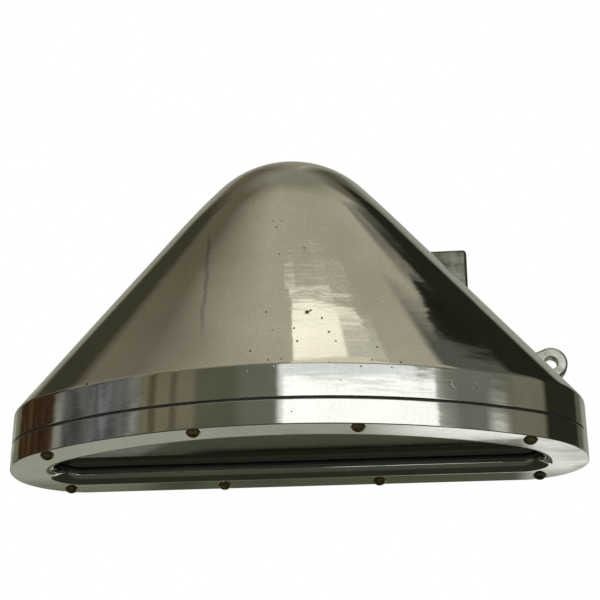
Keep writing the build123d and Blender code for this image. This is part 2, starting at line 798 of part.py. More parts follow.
write("lead_live", lead_live)
write("lead_neutral", lead_neutral)
write("lead_earth", lead_earth)
write("gland_washers", gland_washers)
write("gland_packing", gland_packing)
write("gland_screw", gland_screw)
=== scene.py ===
import json
import math

import bmesh
import bpy
from mathutils import Matrix, Vector, noise


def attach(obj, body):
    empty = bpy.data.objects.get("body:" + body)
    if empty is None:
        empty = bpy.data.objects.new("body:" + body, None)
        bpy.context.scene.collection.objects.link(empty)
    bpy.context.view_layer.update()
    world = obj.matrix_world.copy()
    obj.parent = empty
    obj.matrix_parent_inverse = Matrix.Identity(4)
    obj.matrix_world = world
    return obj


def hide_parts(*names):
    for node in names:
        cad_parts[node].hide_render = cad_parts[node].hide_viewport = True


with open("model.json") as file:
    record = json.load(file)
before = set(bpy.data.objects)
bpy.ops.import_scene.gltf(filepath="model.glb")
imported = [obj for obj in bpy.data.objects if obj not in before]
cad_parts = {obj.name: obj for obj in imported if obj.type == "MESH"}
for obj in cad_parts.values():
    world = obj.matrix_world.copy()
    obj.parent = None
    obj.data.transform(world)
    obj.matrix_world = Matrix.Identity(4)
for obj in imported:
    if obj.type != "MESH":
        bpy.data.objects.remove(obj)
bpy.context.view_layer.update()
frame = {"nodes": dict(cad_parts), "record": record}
scene = bpy.context.scene
nodes = frame["nodes"]
print("frame loaded:", len(nodes), "nodes")

mm = 0.001

# Camera, fitted to the outline, the screws and the window

cameraSetup = {
    "place": (0.1051, -0.9201, -0.3019),
    "yaw": -0.116,
    "pitch": 0.374,
    "roll": -0.002,
    "lens": 77.75,
}


def makeCamera():
    camera = bpy.data.objects.new("camera", bpy.data.cameras.new("camera"))
    scene.collection.objects.link(camera)
    camera.data.lens = cameraSetup["lens"]
    camera.data.sensor_width = 36.0
    camera.data.clip_start = 0.02
    camera.data.clip_end = 30.0
    yaw, pitch, roll = (cameraSetup[k] for k in ("yaw", "pitch", "roll"))
    look = Vector((math.sin(yaw) * math.cos(pitch), math.cos(yaw) * math.cos(pitch), math.sin(pitch)))
    right = Vector((math.cos(yaw), -math.sin(yaw), 0.0))
    up = right.cross(look)
    c, s = math.cos(roll), math.sin(roll)
    right, up = right * c + up * s, up * c - right * s
    turn = Matrix((right, up, -look)).transposed()
    camera.matrix_world = Matrix.Translation(cameraSetup["place"]) @ turn.to_4x4()
    scene.camera = camera


makeCamera()
print("camera placed")


# Node helpers

def newMaterial(name):
    material = bpy.data.materials.new(name)
    material.use_nodes = True
    material.node_tree.nodes.clear()
    return material, material.node_tree


def add(tree, kind, **values):
    node = tree.nodes.new(kind)
    for key, value in values.items():
        setattr(node, key, value)
    return node


def join(tree, source, target):
    tree.links.new(source, target)


def feed(tree, socket, value):
    if isinstance(value, bpy.types.NodeSocket):
        tree.links.new(value, socket)
    else:
        socket.default_value = value


def mathNode(tree, operation, *inputs, clamp=False):
    node = add(tree, "ShaderNodeMath", operation=operation, use_clamp=clamp)
    for socket, value in zip(node.inputs, inputs):
        feed(tree, socket, value)
    return node.outputs[0]


def mixColour(tree, factor, first, second, blend="MIX"):
    node = add(tree, "ShaderNodeMix", data_type="RGBA", blend_type=blend)
    feed(tree, node.inputs[0], factor)
    feed(tree, node.inputs[6], first if isinstance(first, bpy.types.NodeSocket) else (*first[:3], 1.0))
    feed(tree, node.inputs[7], second if isinstance(second, bpy.types.NodeSocket) else (*second[:3], 1.0))
    return node.outputs[2]


def mapRange(tree, value, fromLow, fromHigh, toLow, toHigh, smooth=False):
    node = add(tree, "ShaderNodeMapRange", interpolation_type="SMOOTHSTEP" if smooth else "LINEAR")
    for socket, item in zip(node.inputs, (value, fromLow, fromHigh, toLow, toHigh)):
        feed(tree, socket, item)
    return node.outputs[0]


def noiseNode(tree, place, scale, detail=2.0, roughness=0.5, distortion=0.0):
    node = add(tree, "ShaderNodeTexNoise")
    feed(tree, node.inputs["Vector"], place)
    node.inputs["Scale"].default_value = scale
    node.inputs["Detail"].default_value = detail
    node.inputs["Roughness"].default_value = roughness
    node.inputs["Distortion"].default_value = distortion
    return node.outputs[0]


def greyColour(tree, value):
    node = add(tree, "ShaderNodeCombineColor")
    for socket in node.inputs:
        join(tree, value, socket)
    return node.outputs[0]


def stretch(tree, place, factors, turn=(0.0, 0.0, 0.0)):
    node = add(tree, "ShaderNodeMapping")
    feed(tree, node.inputs["Vector"], place)
    node.inputs["Scale"].default_value = factors
    node.inputs["Rotation"].default_value = turn
    return node.outputs[0]


def newGroup(name, inputs, outputs):
    group = bpy.data.node_groups.new(name, "ShaderNodeTree")
    for label, kind, value in inputs:
        socket = group.interface.new_socket(name=label, in_out="INPUT", socket_type=kind)
        if value is not None:
            socket.default_value = value
    for label, kind in outputs:
        group.interface.new_socket(name=label, in_out="OUTPUT", socket_type=kind)
    return group, group.nodes.new("NodeGroupInput"), group.nodes.new("NodeGroupOutput")


def useGroup(tree, group, **values):
    node = add(tree, "ShaderNodeGroup", node_tree=group)
    for key, value in values.items():
        feed(tree, node.inputs[key], value)
    return node


floatKind, vectorKind = "NodeSocketFloat", "NodeSocketVector"


# Studio: white background, pale floor, soft light, and the room that polished metal mirrors

room = {
    "plainLight": (0.86, 0.87, 0.88),
    "background": (1.0, 1.0, 1.0),
    "high": (0.455, 0.425, 0.33),
    "low": (0.105, 0.11, 0.07),
    "highFrom": 24.0,
    "highTo": 38.0,
    "windowSkew": 0.11,
    "skewAbove": 43.3,
    "thingScale": (0.16, 0.30, 1.0),
    "thingWarp": 0.8,
    "thingDark": 0.62,
    "thingBright": 1.75,
    "thingSide": (-52.0, -46.0),
    "thingTop": (26.0, 32.0),
}

# Each part of the room: azimuth from and to (0 is in front, + to the right), elevation from and
# to, all in degrees, how far its edges blur, how its two sides lean, and the colour
roomParts = [
    ("leftShade", -175, -38, 26, 95, 46, 0.0, 0.0, (0.135, 0.118, 0.078)),
    ("leftDark", -128, -90, 33, 55, 9, 0.0, 0.0, (0.05, 0.052, 0.03)),
    ("rightFade", 46, 178, 26, 60, 24, 2.0, 0.0, (0.20, 0.20, 0.155)),
    ("rightGrey", 51, 100, 26, 52, 4, 0.0, 0.0, (0.10, 0.105, 0.085)),
    ("overheadRight", 104, 170, 48, 78, 16, 0.0, 0.0, (0.10, 0.10, 0.07)),
    ("rightMiddle", 68, 130, 54.3, 61.5, 7, 0.0, 0.0, (0.185, 0.185, 0.14)),
    ("rightDark", 58, 146, 50.8, 55.7, 1.4, 3.4, 0.0, (0.014, 0.016, 0.010)),
    ("rightDarkHigh", 101, 146, 54.0, 59.5, 7, 2.0, 0.0, (0.012, 0.014, 0.008)),
    ("rightDeep", 84, 146, 22, 60, 6, 0.0, 0.0, (0.018, 0.020, 0.013)),
    ("farRight", 143, 184, -3, 46, 9, 0.0, 0.0, (0.33, 0.34, 0.28)),
    ("farLeft", -184, -134, -3, 46, 9, 0.0, 0.0, (0.31, 0.33, 0.26)),
    ("overhead", -400, 400, 70, 140, 16, 0.0, 0.0, (0.27, 0.265, 0.20)),
    ("windowFoot", -3.2, 31.5, 30, 43.4, 1.3, 0.0, -0.6, (0.80, 0.75, 0.58)),
    ("windowPane", -3.0, 30, 41.9, 44.7, 0.45, 0.0, -2.1, (1.20, 1.14, 0.93)),
    ("windowShade", 16, 30, 41.5, 43.9, 1.2, 0.0, 0.0, (0.62, 0.60, 0.50)),
    ("slatOne", -4, 16, 45.25, 45.62, 0.3, 0.0, 0.0, (1.0, 0.96, 0.84)),
    ("slatTwo", -6, -1, 45.9, 46.15, 0.3, 0.0, 0.0, (1.0, 0.95, 0.76)),
    ("slatThree", 10, 27, 46.45, 46.8, 0.4, 0.0, 0.0, (0.68, 0.65, 0.55)),
    ("doorBrown", -121, -80, -6, 32, 1.6, 0.0, 0.0, (0.042, 0.024, 0.011)),
    ("frameOfGrey", -79.5, -48, -6, 31, 1.2, 0.0, 0.0, (0.20, 0.20, 0.175)),
    ("paneGrey", -77, -52, 2, 27, 2.5, 0.0, 0.0, (0.082, 0.088, 0.082)),
    ("paneBright", -68, -62, 10, 18, 4.0, 0.6, 0.6, (0.15, 0.16, 0.165)),
    ("wallTan", -48, -31, -6, 31, 1.8, 0.0, 0.0, (0.185, 0.165, 0.112)),
    ("tanStripeOne", -45.5, -43.2, -6, 26, 1.0, 0.0, 0.0, (0.10, 0.087, 0.05)),
    ("tanStripeTwo", -38.6, -36.6, -6, 24, 1.0, 0.0, 0.0, (0.115, 0.10, 0.065)),
    ("wallSoft", -18, -6, -6, 31, 4.0, 0.0, 0.0, (0.155, 0.165, 0.13)),
    ("windowEdge", 28.0, 41.0, 12, 27, 3.0, 0.0, 0.0, (0.40, 0.42, 0.37)),
    ("windowPale", -6.5, 34.0, 12, 27, 1.5, 0.0, 0.0, (0.84, 0.90, 0.88)),
    ("windowEdgeLow", 34.0, 47, -6, 17.2, 4.0, 0.0, 0.0, (0.42, 0.43, 0.38)),
    ("windowWhite", -5.0, 46.5, -6, 17.85, 0.8, 0.0, -0.3, (1.35, 1.36, 1.32)),
    ("wallRight", 44, 60, -6, 31, 7.0, 0.0, 0.0, (0.17, 0.175, 0.145)),
    ("doorBright", 56.0, 62, -6, 16.0, 3.0, 0.0, 0.0, (0.68, 0.70, 0.63)),
    ("wallTanRight", 62, 79, -6, 31, 5.0, 0.0, 0.0, (0.185, 0.175, 0.125)),
    ("doorDark", 81.5, 129, -6, 33, 4.0, 0.0, 0.0, (0.026, 0.026, 0.016)),
]


def makePatchGroup():
    inputs = [("Azimuth", floatKind, 0.0), ("Elevation", floatKind, 0.0), ("From", floatKind, 0.0),
              ("To", floatKind, 10.0), ("Low", floatKind, 0.0), ("High", floatKind, 10.0),
              ("Blur", floatKind, 2.0), ("LeanFrom", floatKind, 0.0), ("LeanTo", floatKind, 0.0)]
    group, inside, outside = newGroup("roomPart", inputs, [("Mask", floatKind)])
    pin = inside.outputs
    risen = mathNode(group, "SUBTRACT", pin["Elevation"], pin["Low"])
    leftEdge = mathNode(group, "MULTIPLY_ADD", risen, pin["LeanFrom"], pin["From"])
    rightEdge = mathNode(group, "MULTIPLY_ADD", risen, pin["LeanTo"], pin["To"])
    mask = None
    for upper, lower in ((pin["Azimuth"], leftEdge), (rightEdge, pin["Azimuth"]),
                         (pin["Elevation"], pin["Low"]), (pin["High"], pin["Elevation"])):
        gap = mathNode(group, "SUBTRACT", upper, lower)
        edge = mathNode(group, "DIVIDE", gap, pin["Blur"])
        edge = mathNode(group, "ADD", edge, 0.5, clamp=True)
        mask = edge if mask is None else mathNode(group, "MULTIPLY", mask, edge)
    join(group, mask, outside.inputs["Mask"])
    return group


def makeWorld():
    world = bpy.data.worlds.new("studio")
    world.use_nodes = True
    scene.world = world
    tree = world.node_tree
    tree.nodes.clear()
    patchGroup = makePatchGroup()
    direction = add(tree, "ShaderNodeTexCoord").outputs["Generated"]
    parts = add(tree, "ShaderNodeSeparateXYZ")
    join(tree, direction, parts.inputs[0])
    front = mathNode(tree, "MULTIPLY", parts.outputs["Y"], -1.0)
    inDegrees = math.degrees(1)
    azimuth = mathNode(tree, "ARCTAN2", parts.outputs["X"], front)
    azimuth = mathNode(tree, "MULTIPLY", azimuth, inDegrees)
    elevation = mathNode(tree, "MULTIPLY", mathNode(tree, "ARCSINE", parts.outputs["Z"]), inDegrees)
    level = mathNode(tree, "MULTIPLY_ADD", azimuth, -room["windowSkew"], elevation)
    rise = mapRange(tree, elevation, room["highFrom"], room["highTo"], 0.0, 1.0, smooth=True)
    mirrored = mixColour(tree, rise, room["low"], room["high"])
    for name, azFrom, azTo, low, high, blur, leanFrom, leanTo, tone in roomParts:
        skewed = high > room["skewAbove"] and name.startswith(("window", "slat"))
        patch = useGroup(tree, patchGroup, Azimuth=azimuth, Elevation=level if skewed else elevation,
                         From=azFrom, To=azTo, Low=low, High=high, Blur=blur, LeanFrom=leanFrom,
                         LeanTo=leanTo)
        patch.label = name
        mirrored = mixColour(tree, patch.outputs["Mask"], mirrored, tone)
    # Blurred things stand about the room on the left
    spot = add(tree, "ShaderNodeCombineXYZ")
    join(tree, azimuth, spot.inputs[0])
    join(tree, elevation, spot.inputs[1])
    spread = stretch(tree, spot.outputs[0], room["thingScale"])
    things = noiseNode(tree, spread, 1.0, detail=2.0, distortion=room["thingWarp"])
    things = mapRange(tree, things, 0.36, 0.66, room["thingDark"], room["thingBright"])
    among = mapRange(tree, azimuth, *room["thingSide"], 1.0, 0.0)
    among = mathNode(tree, "MULTIPLY", among, mapRange(tree, elevation, *room["thingTop"], 1.0, 0.0))
    things = mathNode(tree, "MULTIPLY_ADD", mathNode(tree, "SUBTRACT", things, 1.0), among, 1.0)
    thingTone = add(tree, "ShaderNodeVectorMath", operation="SCALE")
    join(tree, mirrored, thingTone.inputs[0])
    join(tree, things, thingTone.inputs["Scale"])
    mirrored = thingTone.outputs[0]
    # The background is white for the camera and through glass, and polished metal mirrors the room
    path = add(tree, "ShaderNodeLightPath")
    direct = mathNode(tree, "MAXIMUM", path.outputs["Is Camera Ray"], path.outputs["Is Glossy Ray"])
    direct = mathNode(tree, "MAXIMUM", direct, path.outputs["Is Transmission Ray"])
    colour = mixColour(tree, direct, room["plainLight"], room["background"])
    colour = mixColour(tree, path.outputs["Is Glossy Ray"], colour, mirrored)
    background = add(tree, "ShaderNodeBackground")
    join(tree, colour, background.inputs["Color"])
    output = add(tree, "ShaderNodeOutputWorld")
    join(tree, background.outputs[0], output.inputs["Surface"])


# The tones are what metal mirrors of the floor, in zones from the front to the back
floorSetup = {
    "height": -0.40, "radius": 3.0, "tone": (0.80, 0.80, 0.79), "fadeFrom": 0.5, "fadeTo": 1.6,
    "frontTone": (0.075, 0.078, 0.055), "frontFrom": -0.35, "frontTo": -0.15,
    # The dark zone below the light is a painted shadow of the light on the floor
    "shadowBelowTone": (0.028, 0.031, 0.02), "underTo": 0.72, "underBlur": 0.12,
    "nearTone": (0.35, 0.365, 0.30), "nearTo": 1.035,
    "middleTone": (0.15, 0.165, 0.105), "middleTo": 1.125,
    "stepTone": (0.010, 0.013, 0.007), "stepTo": 1.232, "farTone": (0.090, 0.094, 0.060),
    "blur": 0.03, "leftFrom": -0.52, "leftTo": -0.28, "leftShift": 0.2,
    "brightTone": (1.0, 1.0, 0.96), "brightFrom": -0.04, "brightTo": 0.10,
    "endTone": (0.88, 0.89, 0.84), "endFrom": 0.215, "endTo": 0.25, "endDepth": 1.25, "endBlur": 0.05,
    "endLeft": 0.3, "waveScale": (2.5, 22.0, 1.0), "waveWarp": 0.6, "waveDark": 0.35,
}


def makeFloor():
    s = floorSetup
    bpy.ops.mesh.primitive_circle_add(vertices=128, radius=s["radius"], fill_type="NGON",
                                      location=(0, 0, s["height"]))
    floor = bpy.context.object
    floor.name = "floor"
    material, tree = newMaterial("paleFloor")
    place = add(tree, "ShaderNodeNewGeometry")
    distance = add(tree, "ShaderNodeVectorMath", operation="LENGTH")
    join(tree, place.outputs["Position"], distance.inputs[0])
    path = add(tree, "ShaderNodeLightPath")
    surface = add(tree, "ShaderNodeBsdfDiffuse")
    surface.inputs["Color"].default_value = (*s["tone"], 1.0)
    white = add(tree, "ShaderNodeEmission")
    clear = add(tree, "ShaderNodeBsdfTransparent")
    fade = mapRange(tree, distance.outputs["Value"], s["fadeFrom"], s["fadeTo"], 0.0, 1.0, smooth=True)
    fade = mathNode(tree, "MULTIPLY", fade, path.outputs["Is Camera Ray"])
    pale = add(tree, "ShaderNodeMixShader")
    join(tree, fade, pale.inputs[0])
    join(tree, surface.outputs[0], pale.inputs[1])
    join(tree, white.outputs[0], pale.inputs[2])
    # What the polished flange and the glass mirror of it, brighter to the right, with a dark step behind
    parts = add(tree, "ShaderNodeSeparateXYZ")
    join(tree, place.outputs["Position"], parts.inputs[0])
    across, along = parts.outputs["X"], parts.outputs["Y"]
    aside = mapRange(tree, across, s["brightFrom"], s["brightTo"], 0.0, 1.0, smooth=True)
    tone = mixColour(tree, aside, s["nearTone"], s["brightTone"])
    left = mapRange(tree, across, s["leftFrom"], s["leftTo"], 1.0, 0.0, smooth=True)
    step = mixColour(tree, left, s["stepTone"], s["middleTone"])
    depth = mathNode(tree, "MULTIPLY_ADD", left, -s["leftShift"], along)
    zones = ((s["nearTo"], s["middleTone"]), (s["middleTo"], step), (s["stepTo"], s["farTone"]))
    for start, nextTone in zones:
        past = mapRange(tree, depth, start, start + s["blur"], 0.0, 1.0, smooth=True)
        tone = mixColour(tree, past, tone, nextTone)
    # The right end is bright, with wavy dark lines
    wavy = stretch(tree, place.outputs["Position"], s["waveScale"])
    wavy = noiseNode(tree, wavy, 1.0, detail=2.0, distortion=s["waveWarp"])
    wavy = mapRange(tree, wavy, 0.50, 0.60, 1.0, s["waveDark"], smooth=True)
    shade = greyColour(tree, wavy)
    end = mixColour(tree, 1.0, s["endTone"], shade, blend="MULTIPLY")
    right = mapRange(tree, across, s["endFrom"], s["endTo"], 0.0, 1.0, smooth=True)
    behind = mapRange(tree, along, s["endDepth"], s["endDepth"] + s["endBlur"], 1.0, s["endLeft"])
    tone = mixColour(tree, mathNode(tree, "MULTIPLY", right, behind), tone, end)
    # Right below the light the mirrored floor is dark: a painted shadow of the light itself
    under = mapRange(tree, along, s["underTo"], s["underTo"] + s["underBlur"], 1.0, 0.0, smooth=True)
    tone = mixColour(tree, under, tone, s["shadowBelowTone"])
    front = mapRange(tree, along, s["frontFrom"], s["frontTo"], 1.0, 0.0, smooth=True)
    tone = mixColour(tree, front, tone, s["frontTone"])
    mirrored = add(tree, "ShaderNodeEmission")
    join(tree, tone, mirrored.inputs["Color"])
    shown = add(tree, "ShaderNodeMixShader")
    join(tree, path.outputs["Is Glossy Ray"], shown.inputs[0])
    join(tree, pale.outputs[0], shown.inputs[1])
    join(tree, mirrored.outputs[0], shown.inputs[2])
    seen = add(tree, "ShaderNodeMixShader")
    join(tree, place.outputs["Backfacing"], seen.inputs[0])
    join(tree, shown.outputs[0], seen.inputs[1])
    join(tree, clear.outputs[0], seen.inputs[2])
    output = add(tree, "ShaderNodeOutputMaterial")
    join(tree, seen.outputs[0], output.inputs["Surface"])
    floor.data.materials.append(material)


keyLight = {"place": (-1.1, -1.5, 1.6), "size": 1.6, "power": 14.0}


def makeLight():
    lamp = bpy.data.objects.new("softLight", bpy.data.lights.new("softLight", "AREA"))
    scene.collection.objects.link(lamp)
    lamp.data.size = keyLight["size"]
    lamp.data.energy = keyLight["power"]
    lamp.location = keyLight["place"]
    lamp.rotation_mode = "QUATERNION"
    lamp.rotation_quaternion = (Vector(keyLight["place"])).to_track_quat("Z", "Y")
    lamp.visible_glossy = False


makeWorld()
makeFloor()
makeLight()
scene.view_settings.view_transform = "Standard"
print("studio ready")


# Materials

def principled(tree, **values):
    shader = add(tree, "ShaderNodeBsdfPrincipled")
    for key, value in values.items():
        feed(tree, shader.inputs[key.replace("_", " ")], value)
    output = add(tree, "ShaderNodeOutputMaterial")
    join(tree, shader.outputs[0], output.inputs["Surface"])


def objectPlace(tree):
    return add(tree, "ShaderNodeTexCoord").outputs["Object"]


def bump(tree, height, distance):
    node = add(tree, "ShaderNodeBump")
    node.inputs["Strength"].default_value = 1.0
    node.inputs["Distance"].default_value = distance
    join(tree, height, node.inputs["Height"])
    return node.outputs[0]


# Each set of hairline scratches: its turn and its scale along the three axes
scratchSets = [((0.3, 0.5, 0.2), (40.0, 2200.0, 60.0)), ((0.1, -0.4, 0.9), (50.0, 60.0, 1900.0))]


def makeGrainGroup():
    # Fine surface grain, cloudy tone and hairline scratches that any worn piece can carry
    inputs = [("Place", vectorKind, None), ("Fine", floatKind, 900.0), ("Cloud", floatKind, 18.0)]
    outputs = [("Grain", floatKind), ("Clouds", floatKind), ("Scratches", floatKind)]
    group, inside, outside = newGroup("wornGrain", inputs, outputs)
    pin = inside.outputs
    fine = add(group, "ShaderNodeTexNoise")
    join(group, pin["Place"], fine.inputs["Vector"])
    join(group, pin["Fine"], fine.inputs["Scale"])
    fine.inputs["Detail"].default_value = 3.0
    cloud = add(group, "ShaderNodeTexNoise")
    join(group, pin["Place"], cloud.inputs["Vector"])
    join(group, pin["Cloud"], cloud.inputs["Scale"])
    cloud.inputs["Detail"].default_value = 4.0
    lines = None
    for turn, factors in scratchSets:
        hair = noiseNode(group, stretch(group, pin["Place"], factors, turn), 1.0, detail=1.0)
        hair = mapRange(group, hair, 0.60, 0.74, 0.0, 1.0)
        lines = hair if lines is None else mathNode(group, "MAXIMUM", lines, hair)
    join(group, fine.outputs[0], outside.inputs["Grain"])
    join(group, cloud.outputs[0], outside.inputs["Clouds"])
    join(group, lines, outside.inputs["Scratches"])
    return group


grainGroup = makeGrainGroup()

castingFinish = {
    "light": (0.80, 0.79, 0.76),
    "dull": (0.66, 0.65, 0.61),
    # Dark colour of the gas holes: painted shade inside them
    "pitShadeTone": (0.035, 0.028, 0.018),
    "roughLow": 0.02,
    "roughHigh": 0.065,
    "waveHeight": 0.00010,
    "waveScale": (13.0, 13.0, 30.0),
    "streakHeight": 0.6,
    "streakScale": (24.0, 24.0, 105.0),
    "grainHeight": 0.010,
    "scratchHeight": -0.012,
    "scratchRough": 0.04,
    "pitHeight": -0.6,
    "pitRough": 0.5,
    "pitWander": 0.0016,
    "pitSoftness": 0.65,
    "speckScale": 170.0,
    "speckShare": 0.94,
    # The upright dark line on the front is a painted reflection in the base colour
    "reflectionLineDepth": 0.30,
    "reflectionLineX": -0.0475,
    "reflectionLineFrom": -0.025,
    "reflectionLineTo": 0.062,
    "groundTone": (0.34, 0.34, 0.31),
    "groundRough": 0.42,
    "groundDepth": 0.0003,
    "groundLines": 0.5,
    "groundScale": (9.0, 1.0, 900.0),
}

# Gas holes and gouges in the casting: place in mm with the flange at -84, and radius
pitPlaces = [
    (20.6, -156.6, -8.6, 1.7), (22.8, -156.2, -7.4, 0.9), (17.7, -146.5, 40.3, 0.9),
    (-3.5, -142.9, 62.6, 0.7), (1.9, -143.0, 62.3, 0.7), (-1.3, -144.0, 57.6, 0.8),
    (1.4, -148.4, 36.0, 0.8), (-5.6, -157.2, -7.6, 0.9), (-1.3, -160.1, -21.1, 0.7),
    (-14.7, -162.6, -35.4, 0.9), (5.1, -164.3, -42.0, 0.7), (-3.1, -164.4, -42.4, 0.8),
    (-46.9, -146.9, 15.7, 0.7), (34.6, -158.2, -23.3, 0.8), (39.0, -159.0, -29.8, 0.7),
    (64.3, -154.9, -33.4, 0.9), (61.2, -157.9, -42.9, 0.8), (79.0, -153.7, -43.5, 0.8),
    (34.8, -162.7, -44.7, 0.6), (14.8, -161.4, -29.6, 0.8), (12.6, -159.6, -20.2, 0.7),
    (30.1, -156.5, -13.1, 0.8), (1.4, -164.9, -46.7, 0.8), (42.1, -161.9, -56.4, 0.6),
    (54.4, -159.8, -47.2, 0.7), (73.4, -155.6, -47.2, 0.7), (-15.5, -164.5, -49.1, 0.6),
    (-126.0, -136.1, -44.3, 1.3), (173.4, -89.3, -27.9, 0.9), (108.8, -144.0, -54.6, 1.0),
    (109.3, -143.7, -57.0, 1.3), (110.6, -143.2, -58.4, 0.9), (124.2, -137.3, -54.2, 0.9),
    (125.6, -136.6, -56.6, 0.7), (122.6, -138.2, -57.5, 0.6), (168.4, -111.6, -79.9, 1.0),
]


def makePitGroup():
    group, inside, outside = newGroup("castingPits", [("Place", vectorKind, None)], [("Mask", floatKind)])
    ragged = add(group, "ShaderNodeTexNoise")
    join(group, inside.outputs["Place"], ragged.inputs["Vector"])
    ragged.inputs["Scale"].default_value = 900.0
    shift = add(group, "ShaderNodeVectorMath", operation="MULTIPLY_ADD")
    join(group, ragged.outputs["Color"], shift.inputs[0])
    wander = castingFinish["pitWander"]
    shift.inputs[1].default_value = (wander, wander, wander)
    join(group, inside.outputs["Place"], shift.inputs[2])
    mask = None
    for x, y, z, radius in pitPlaces:
        away = add(group, "ShaderNodeVectorMath", operation="DISTANCE")
        join(group, shift.outputs[0], away.inputs[0])
        away.inputs[1].default_value = tuple(at * mm + wander / 2 for at in (x, y, z))
        soft = castingFinish["pitSoftness"] * radius * mm
        hole = mathNode(group, "MULTIPLY_ADD", away.outputs["Value"], -1 / soft, radius * mm / soft,
                        clamp=True)
        mask = hole if mask is None else mathNode(group, "MAXIMUM", mask, hole)
    cells = add(group, "ShaderNodeTexVoronoi")
    join(group, inside.outputs["Place"], cells.inputs["Vector"])
    cells.inputs["Scale"].default_value = castingFinish["speckScale"]
    pick = add(group, "ShaderNodeSeparateColor")
    join(group, cells.outputs["Color"], pick.inputs[0])
    speck = mapRange(group, cells.outputs["Distance"], 0.045, 0.085, 1.0, 0.0, smooth=True)
    few = mathNode(group, "GREATER_THAN", pick.outputs[0], castingFinish["speckShare"])
    speck = mathNode(group, "MULTIPLY", speck, few)
    join(group, mathNode(group, "MAXIMUM", mask, speck), outside.inputs["Mask"])
    return group


def makeCasting(name):
    s = castingFinish
    material, tree = newMaterial(name)
    place = objectPlace(tree)
    grain = useGroup(tree, grainGroup, Place=place)
    pits = useGroup(tree, makePitGroup(), Place=place).outputs["Mask"]
    clouds, scratches = grain.outputs["Clouds"], grain.outputs["Scratches"]
    colour = mixColour(tree, mapRange(tree, clouds, 0.35, 0.7, 0.0, 1.0), s["light"], s["dull"])
    speckle = mapRange(tree, grain.outputs["Grain"], 0.3, 0.7, 0.90, 1.06)
    parts = add(tree, "ShaderNodeSeparateXYZ")
    join(tree, place, parts.inputs[0])
    # One upright dark line down the left of the front, a painted reflection that darkens the base colour
    bend = noiseNode(tree, stretch(tree, place, (1.0, 1.0, 60.0)), 1.0)
    bend = mathNode(tree, "MULTIPLY_ADD", bend, 0.006, -0.003)
    aside = mathNode(tree, "SUBTRACT", mathNode(tree, "ADD", parts.outputs["X"], bend), s["reflectionLineX"])
    aside = mathNode(tree, "ABSOLUTE", aside)
    paintedReflectionLine = mapRange(tree, aside, 0.0004, 0.0022, s["reflectionLineDepth"], 0.0, smooth=True)
    foot = mapRange(tree, parts.outputs["Z"], s["reflectionLineFrom"], s["reflectionLineFrom"] + 0.02, 0.0, 1.0)
    head = mapRange(tree, parts.outputs["Z"], s["reflectionLineTo"] - 0.01, s["reflectionLineTo"], 1.0, 0.0)
    paintedReflectionLine = mathNode(tree, "MULTIPLY", mathNode(tree, "MULTIPLY", paintedReflectionLine, foot), head)
    shade = mathNode(tree, "MULTIPLY", speckle, mathNode(tree, "SUBTRACT", 1.0, paintedReflectionLine))
    colour = mixColour(tree, 1.0, colour, greyColour(tree, shade), blend="MULTIPLY")
    # Painted shade: the gas holes and specks are darkened in the base colour
    colour = mixColour(tree, pits, colour, s["pitShadeTone"])
    rough = mapRange(tree, clouds, 0.3, 0.7, s["roughLow"], s["roughHigh"])
    rough = mathNode(tree, "MULTIPLY_ADD", scratches, s["scratchRough"], rough)
    rough = mathNode(tree, "MULTIPLY_ADD", pits, s["pitRough"], rough)
    # The back is ground flat, with lines along it, and not polished
    deep = s["groundDepth"]
    ground = mapRange(tree, parts.outputs["Y"], -deep, -0.5 * deep, 0.0, 1.0)
    lines = noiseNode(tree, stretch(tree, place, s["groundScale"]), 1.0, detail=3.0)
    lineTone = mapRange(tree, lines, 0.35, 0.65, 0.72, 1.15)
    groundColour = add(tree, "ShaderNodeVectorMath", operation="SCALE")
    groundColour.inputs[0].default_value = s["groundTone"]
    join(tree, lineTone, groundColour.inputs["Scale"])
    colour = mixColour(tree, ground, colour, groundColour.outputs[0])
    rough = mathNode(tree, "MAXIMUM", rough, mathNode(tree, "MULTIPLY", ground, s["groundRough"]))
    # Long polishing waves, shorter level ones, hairlines and the holes
    wave = noiseNode(tree, stretch(tree, place, s["waveScale"]), 1.0, detail=1.0)
    streak = noiseNode(tree, stretch(tree, place, s["streakScale"]), 1.0, detail=2.0)
    height = mathNode(tree, "MULTIPLY_ADD", streak, s["streakHeight"], wave)
    height = mathNode(tree, "MULTIPLY_ADD", grain.outputs["Grain"], s["grainHeight"], height)
    height = mathNode(tree, "MULTIPLY_ADD", scratches, s["scratchHeight"], height)
    height = mathNode(tree, "MULTIPLY_ADD", pits, s["pitHeight"], height)
    groundLines = mathNode(tree, "MULTIPLY", ground, s["groundLines"])
    height = mathNode(tree, "MULTIPLY", height, mathNode(tree, "SUBTRACT", 1.0, ground))
    height = mathNode(tree, "ADD", height, mathNode(tree, "MULTIPLY", lines, groundLines))
    principled(tree, Base_Color=colour, Metallic=1.0, Roughness=rough,
               Normal=bump(tree, height, s["waveHeight"]))
    return material


def makeMetal(name, light, dark, rough, cloud=60.0, fine=1400.0, metallic=1.0, grainDepth=0.00002):
    material, tree = newMaterial(name)
    grain = useGroup(tree, grainGroup, Place=objectPlace(tree), Fine=fine, Cloud=cloud)
    blend = mapRange(tree, grain.outputs["Clouds"], 0.38, 0.66, 0.0, 1.0)
    colour = mixColour(tree, blend, light, dark)
    colour = mixColour(tree, mathNode(tree, "MULTIPLY", grain.outputs["Scratches"], 0.25), colour, light)
    roughness = mapRange(tree, blend, 0.0, 1.0, rough, rough + 0.15)
    principled(tree, Base_Color=colour, Metallic=metallic, Roughness=roughness,
               Normal=bump(tree, grain.outputs["Grain"], grainDepth))
    return material


